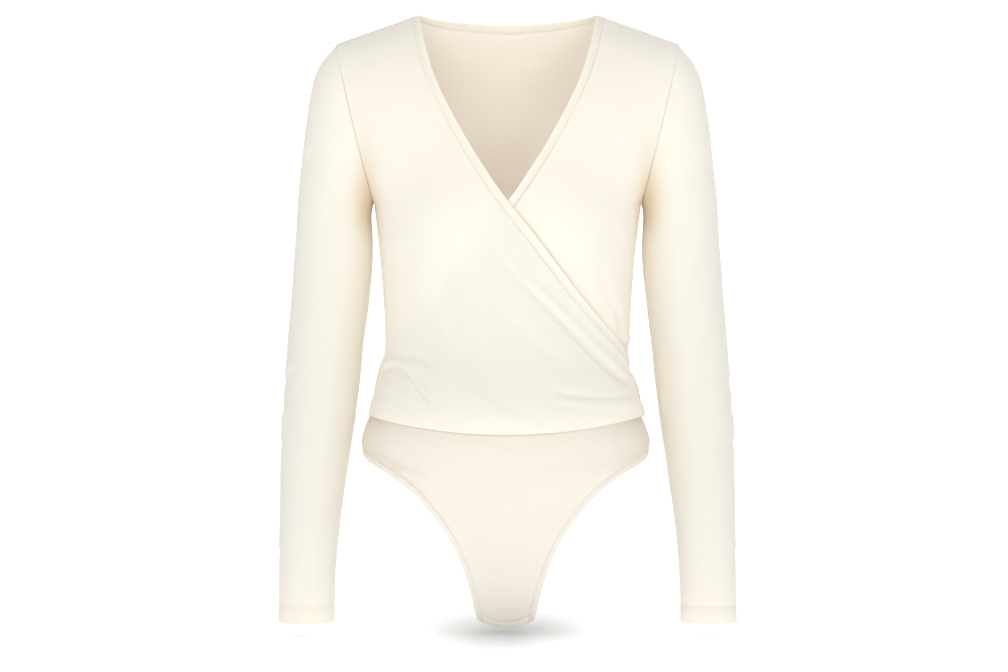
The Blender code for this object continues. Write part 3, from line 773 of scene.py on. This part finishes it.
onBody = {"core": bodyCore, "line": bodyLine, "radius": 0.125, "thick": 0.8}
onArm = {"core": sleeveCore, "line": armLine, "radius": 0.040, "thick": 0.8, "hem": True}
topCloth = {"material": jersey, "slot": "jersey"}
briefCloth = {"material": briefJersey, "slot": "brief_jersey"}
panels = {
    "front_wrap": {
        **onBody, **topCloth, "gathered": True, "front": wrapFolds, "flat": (0.40, 0.48),
        "area": 0.095,
    },
    "front_under": {
        **onBody, **topCloth, "gathered": True, "front": underFolds, "flat": (0.38, 0.47),
        "area": 0.088, "shadows": [("band", "neckband_wrap")],
    },
    "bodice_back": {
        **onBody, **topCloth, "gathered": True, "back": backFolds, "flat": (0.40, 0.45),
        "area": 0.161,
    },
    "sleeve_left": {
        **onArm, **topCloth, "front": leftArmFolds, "back": leftArmBackFolds,
        "aside": outerArmFolds, "flat": (0.30, 0.64), "area": 0.138,
    },
    "sleeve_right": {
        **onArm, **topCloth, "front": rightArmFolds, "back": rightArmBackFolds,
        "aside": outerArmFolds, "flat": (0.30, 0.64), "area": 0.138,
    },
    "brief_front": {
        **onBody, **briefCloth, "ease": 5, "flat": (0.36, 0.24), "area": 0.041,
        "shadows": [("hem", "front_wrap")],
    },
    # painted light: the gusset wears the bodice's lighter jersey, not the brief's, so its shaded
    # underside comes out lighter
    "gusset": {
        **onBody, "core": crotchCore, "radius": 0.06, "material": jersey, "slot": "brief_jersey",
        "flat": (0.060, 0.068), "area": 0.0029,
    },
    "brief_back": {
        **onBody, **briefCloth, "ease": 5, "flat": (0.36, 0.24), "area": 0.030,
        "shadows": [("hem", "bodice_back")],
    },
}

bands = {
    "neckband_wrap": {"flat": (0.010, 0.62), "radius": 0.125},
    "neckband_under": {"flat": (0.010, 0.60), "radius": 0.125},
    "neckband_back": {"flat": (0.0105, 0.23), "radius": 0.125},
    "leg_band_left": {"flat": (0.010, 0.62), "radius": 0.09},
    "leg_band_right": {"flat": (0.010, 0.62), "radius": 0.09},
}
bandEdge = {"width": 0.45 * mm, "segments": 2, "angle": math.radians(50), "levels": 2}
bandPieces = {}

for node, cut in bands.items():
    form = mergedCopy(node)
    joinTriangles(form)
    piece = newPiece(node + "_binding", form)
    bevel = piece.modifiers.new("rounded", "BEVEL")
    bevel.width = bandEdge["width"]
    bevel.segments = bandEdge["segments"]
    bevel.limit_method = "ANGLE"
    bevel.angle_limit = bandEdge["angle"]
    applyModifiers(piece)
    subdivide(piece, bandEdge["levels"])
    if node.startswith("neckband"):
        bulgeSides(piece)
    piece.data.attributes.new("seam", "FLOAT", "POINT")
    points, normals = readPoints(piece.data), readNormals(piece.data)
    inner = step(0.0, 0.3, -(normals * (points - bodyLine(points))).sum(axis=1) / 0.1)
    mark = piece.data.attributes.new("inner", "FLOAT", "POINT")
    mark.data.foreach_set("value", inner.astype(np.float32))
    knitMap(piece, bodyLine, cut["radius"])
    material = briefBinding if node.startswith("leg") else binding
    settle(piece, node, material)
    bandPieces[node] = piece
    print("binding", node, len(piece.data.polygons))

bandTrees = {node: meshTree(piece.data) for node, piece in bandPieces.items()}

seamRoll = {"width": 1.5 * mm, "sink": 0.20 * mm, "close": 0.15 * mm, "tuck": 0.5 * mm,
            "near": 1.2 * mm, "swell": 2.6 * mm, "rise": 0.42 * mm}
# the line of the turned edge at each cuff, with painted shade in its groove and on the turned cuff
# below it
hem = {"inset": 18.0 * mm, "width": 0.9 * mm, "sink": 0.5 * mm, "dark": 1.8, "below": 0.8}
sheets = {}  # each panel before it gets its thickness, for the stitches

for seed, (node, cut) in enumerate(panels.items()):
    piece = newPiece(node + "_cloth", outerSkin(node, cut["core"], cut.get("ease", 0)))
    subdivide(piece, smooth["levels"])
    ripple(piece, seed)
    for key, (flatten, weight) in foldSides.items():
        pressFolds(piece, cut.get(key, []), flatten, weight)
    if cut.get("gathered"):
        bulgeSides(piece)
    if node in wrapEnd:
        liftToSeam(piece, wrapEnd[node])
    sheets[node] = piece.data.copy()
    near = list(bandTrees.values())
    markSeams(piece, seamRoll, hem if cut.get("hem") else None, near)
    closeGap(piece, seamRoll["close"], seamRoll["tuck"], near)
    markPaintedShade(piece, node.startswith("sleeve"))
    for shade in cut.get("shadows", []):
        markShadow(piece, *shade)
    knitMap(piece, cut["line"], cut["radius"])
    giveThickness(piece, cut["thick"] * mm)
    settle(piece, node, cut["material"])
    print("panel", node, len(piece.data.polygons))


stitch = {"long": 2.3 * mm, "thick": 0.42 * mm, "pitch": 3.1 * mm, "raised": 0.05 * mm}
# how far each row lies inside the panel's edge; a row on a binding lies outside it
rowInsets = {
    "neck": (-1.6 * mm, -4.2 * mm), "leg": (-1.6 * mm,), "cuff": (14.0 * mm, 16.6 * mm),
    "cuffBelow": -0.64,
}


def edgeRuns(mesh, wanted):
    # ordered runs of edge places that are wanted, each with its way into the cloth
    form = bmesh.new()
    form.from_mesh(mesh)
    form.verts.ensure_lookup_table()
    links = {}
    for edge in form.edges:
        if edge.is_boundary and all(wanted(v.co) for v in edge.verts):
            a, b = edge.verts
            links.setdefault(a.index, []).append(b.index)
            links.setdefault(b.index, []).append(a.index)
    runs = []
    left = set(links)
    while left:
        ends = [i for i in left if len(links[i]) == 1]
        here = min(ends) if ends else min(left)
        order = []
        while here is not None:
            order.append(here)
            left.discard(here)
            here = next((i for i in links[here] if i in left), None)
        if len(order) > 3:
            run = []
            for index in order:
                vert = form.verts[index]
                middle = Vector()
                for face in vert.link_faces:
                    middle += face.calc_center_median() / len(vert.link_faces)
                run.append((vert.co.copy(), middle - vert.co))
            runs.append(run)
    form.free()
    return runs


def stitchPlaces(run, inset, tree):
    # walks along a run and gives each stitch its place, way and normal on the cloth
    line = []
    for index, (point, inward) in enumerate(run):
        way = run[min(index + 1, len(run) - 1)][0] - run[max(index - 1, 0)][0]
        way.normalize()
        inward = inward - way * inward.dot(way)
        if inward.length > 1e-9:
            line.append(point + inward.normalized() * inset)
    places = []
    left = stitch["pitch"] / 2
    for a, b in zip(line, line[1:]):
        long = (b - a).length
        while long > 1e-9 and left < long:
            spotHere, normal, _, _ = tree.find_nearest(a.lerp(b, left / long))
            if spotHere is not None:
                lifted = spotHere + normal * stitch["raised"]
                places.append((lifted, (b - a).normalized(), normal))
            left += stitch["pitch"]
        left -= long
    return places


def threadForm():
    bpy.ops.object.select_all(action="DESELECT")
    bpy.ops.mesh.primitive_uv_sphere_add(segments=6, ring_count=4, radius=0.5)
    form = bpy.context.active_object
    bpy.ops.object.mode_set(mode="EDIT")
    bpy.ops.transform.rotate(value=math.pi / 2, orient_axis="Y", center_override=(0, 0, 0))
    bpy.ops.transform.resize(value=(stitch["long"], stitch["thick"], stitch["thick"] * 0.8))
    bpy.ops.object.mode_set(mode="OBJECT")
    points = [v.co.copy() for v in form.data.vertices]
    faces = [tuple(p.vertices) for p in form.data.polygons]
    bpy.data.objects.remove(form)
    return points, faces


def sewRows(name, places):
    # every stitch is a copy of one small rounded thread, laid along the cloth
    points, faces = threadForm()
    allPoints, allFaces = [], []
    for place, way, normal in places:
        side = normal.cross(way).normalized()
        turn = Matrix((way, side, way.cross(side))).transposed()
        base = len(allPoints)
        allPoints.extend(place + turn @ point for point in points)
        allFaces.extend(tuple(base + i for i in face) for face in faces)
    mesh = bpy.data.meshes.new(name)
    mesh.from_pydata(allPoints, [], allFaces)
    for polygon in mesh.polygons:
        polygon.use_smooth = True
    mesh.materials.append(thread)
    piece = bpy.data.objects.new(name, mesh)
    bpy.context.scene.collection.objects.link(piece)
    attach(piece, "root")
    print("stitches", name, len(places))


panelTrees = {node: meshTree(mesh) for node, mesh in sheets.items()}


def besideBand(node):
    tree = bandTrees[node]
    return lambda point: (tree.find_nearest(point)[0] - point).length < seamRoll["near"]


def rowsBeside(panel, band, insets):
    found = []
    for inset in insets:
        tree = panelTrees[panel] if inset > 0 else bandTrees[band]
        for run in edgeRuns(sheets[panel], besideBand(band)):
            found += stitchPlaces(run, inset, tree)
    return found


neckSeams = {
    "front_wrap": "neckband_wrap", "front_under": "neckband_under", "bodice_back": "neckband_back",
}
neckStitches = []
for panel, band in neckSeams.items():
    neckStitches += rowsBeside(panel, band, rowInsets["neck"])
sewRows("neckband_stitches", neckStitches)

legStitches = []
for band in ("leg_band_left", "leg_band_right"):
    for panel in ("brief_front", "gusset", "brief_back"):
        legStitches += rowsBeside(panel, band, rowInsets["leg"])
sewRows("leg_stitches", legStitches)

cuffStitches = []
for node in ("sleeve_left", "sleeve_right"):
    for run in edgeRuns(sheets[node], lambda point: point.z < rowInsets["cuffBelow"]):
        for inset in rowInsets["cuff"]:
            cuffStitches += stitchPlaces(run, inset, panelTrees[node])
sewRows("cuff_stitches", cuffStitches)


studio = {
    "floor": -0.6640, "world": 0.40, "key": 18.0, "fill": 14.5, "top": 16.0, "behind": 28.0,
    "pale": colour(0.91, 0.935, 0.97), "floorGlow": 0.76, "backdropGlow": 1.02,
    "shadowWide": 0.080, "shadowDeep": 0.15, "shadowRise": 0.68,
}


def paleMaterial(name, glow, shaded):
    # a pale surface with a glow of its own and, on the floor, a painted soft shadow under the
    # crotch
    sheet = Sheet(name)
    place = sheet.node("ShaderNodeTexCoord", {}, {}, "Object")
    cloudy = sheet.noise(place, 3.0)
    tint = sheet.mix(cloudy * 0.2, studio["pale"], colour(0.94, 0.955, 0.98))
    light = colour(1.0, 1.0, 1.0)
    if shaded:
        across = sheet.node("ShaderNodeSeparateXYZ", {}, {"Vector": place}, 0)
        depth = sheet.node("ShaderNodeSeparateXYZ", {}, {"Vector": place}, 1)
        # the floor glows less within 0.8 m of the middle and fully from 2.4 m out, where the lamps
        # light it less
        far = (((across ** 2.0 + depth ** 2.0) ** 0.5 - 0.8) / 1.6).clamped()
        light = sheet.mix(far, colour(0.72, 0.72, 0.72), light)
        # painted shadow: an oval under the crotch where the glow fades and the floor turns grey
        wide = (across - 0.001) / studio["shadowWide"]
        deep = (depth - 0.005) / studio["shadowDeep"]
        away = ((wide ** 2.0 + deep ** 2.0) * -1.0)
        share = away.maths("EXPONENT", away) * studio["shadowRise"]
        light = sheet.mix(share, light, colour(0.0, 0.0, 0.0))
        tint = sheet.mix(share, tint, colour(0.47, 0.49, 0.52))
    sheet.finish({
        "Base Color": tint, "Roughness": 0.9, "Specular IOR Level": 0.1,
        "Emission Color": light, "Emission Strength": glow,
    })
    return sheet.material


bpy.ops.object.select_all(action="DESELECT")
bpy.ops.mesh.primitive_circle_add(
    vertices=96, radius=7.0, fill_type="NGON", location=(0, 0, studio["floor"])
)
floor = bpy.context.active_object
floor.name = "floor"
floor.data.materials.append(paleMaterial("pale_floor", studio["floorGlow"], True))

# the backdrop closes round everything, is only looked at and gives no light
bpy.ops.object.select_all(action="DESELECT")
bpy.ops.mesh.primitive_uv_sphere_add(segments=64, ring_count=32, radius=7.0, location=(0, 0, 0))
backdrop = bpy.context.active_object
backdrop.name = "backdrop"
backdrop.data.materials.append(paleMaterial("pale_backdrop", studio["backdropGlow"], False))
for ray in ("visible_diffuse", "visible_glossy", "visible_transmission", "visible_shadow"):
    setattr(backdrop, ray, False)


def softLight(name, place, target, size, power, tint):
    data = bpy.data.lights.new(name, "AREA")
    data.shape = "DISK"
    data.size = size
    data.energy = power
    data.color = tint
    lamp = bpy.data.objects.new(name, data)
    lamp.location = place
    lamp.rotation_euler = (Vector(target) - Vector(place)).to_track_quat("-Z", "Y").to_euler()
    lamp.visible_camera = False
    bpy.context.scene.collection.objects.link(lamp)


softLight("key", (-0.8, -3.0, 0.15), (0, 0, -0.35), 1.8, studio["key"], (1.0, 0.97, 0.92))
softLight("fill", (1.2, -3.0, -0.05), (0, 0, -0.35), 1.4, studio["fill"], (1.0, 0.97, 0.92))
softLight("top", (0.0, -1.0, 2.1), (0, 0, -0.05), 1.8, studio["top"], (1.0, 0.99, 0.98))
softLight("behind", (0.9, 3.0, 1.5), (0, 0, -0.2), 2.0, studio["behind"], (1.0, 0.97, 0.92))

world = bpy.data.worlds.new("studio")
bpy.context.scene.world = world
world.use_nodes = True
sky = world.node_tree.nodes["Background"]
sky.inputs["Color"].default_value = (1.0, 1.0, 1.0, 1.0)
sky.inputs["Strength"].default_value = studio["world"]
bpy.context.scene.view_settings.view_transform = "Standard"

lens = bpy.data.cameras.new("camera")
lens.lens = camera["lens"]
lens.sensor_width = camera["sensor"]
eye = bpy.data.objects.new("camera", lens)
eye.location = (camera["x"], camera["y"], camera["z"])
eye.rotation_euler = (math.pi / 2, 0, 0)
bpy.context.scene.collection.objects.link(eye)
bpy.context.scene.camera = eye
print("studio set")
